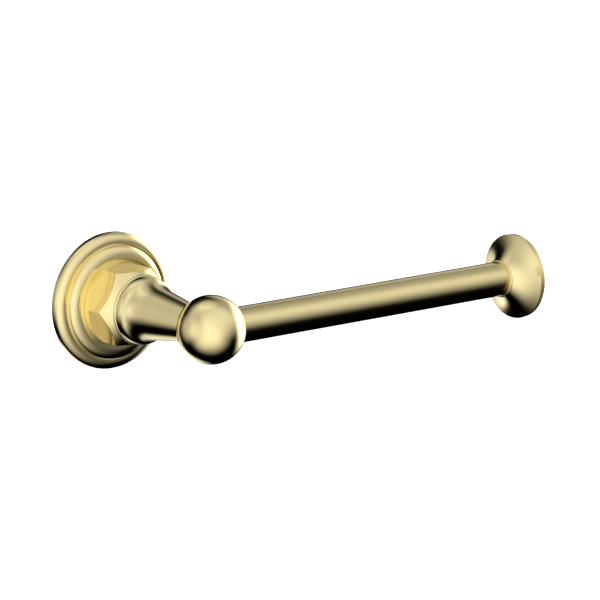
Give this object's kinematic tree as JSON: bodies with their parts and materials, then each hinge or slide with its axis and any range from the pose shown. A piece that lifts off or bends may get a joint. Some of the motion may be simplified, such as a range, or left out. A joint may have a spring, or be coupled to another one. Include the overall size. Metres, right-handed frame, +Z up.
{
  "type": "toilet paper holder",
  "caption": "Wall-mounted open-arm toilet paper holder: stepped round rosette, hexagon collar, turned post, ball corner and a straight bar with a flared end stop.",
  "frame": {"origin": "on the wall plane, at the centre of the bracket's back face, on the post's axis", "axes": "+Y into the wall, so the post projects along -Y; the bar points along +X; +Z up"},
  "size_m": [0.212, 0.1138, 0.0624],
  "materials": {
    "brass": "pale gold brass, polished to a soft satin",
    "raw_brass": "turned, unpolished",
    "bracket": "cast and zinc plated",
    "fasteners": "stainless, as machined",
    "set_screw": "black oxide",
    "plugs": "moulded nylon",
    "washer": "punched nylon sheet"
  },
  "bodies": {
    "holder": {"wall_bracket": "bracket", "wall_screw_lower": "fasteners", "wall_screw_upper": "fasteners", "wall_plug_lower": "plugs", "wall_plug_upper": "plugs", "rosette": "brass", "hex_collar": "brass", "collar_washer": "washer", "post": "brass", "post_stud": "fasteners", "stud_nut": "fasteners", "spring_washer": "fasteners", "ball": "brass", "bar_stud": "fasteners", "bar_insert": "raw_brass", "bar": "brass", "end_insert": "raw_brass", "end_stud": "fasteners", "bar_bead": "brass", "end_cap": "brass"},
    "set_screw": {"set_screw": "set_screw"}
  },
  "joints": [
    {"name": "set_screw_travel", "type": "slide", "parent": "holder", "child": "set_screw", "axis": [0, 0, -1], "range_m": [0, 0.0035]}
  ]
}
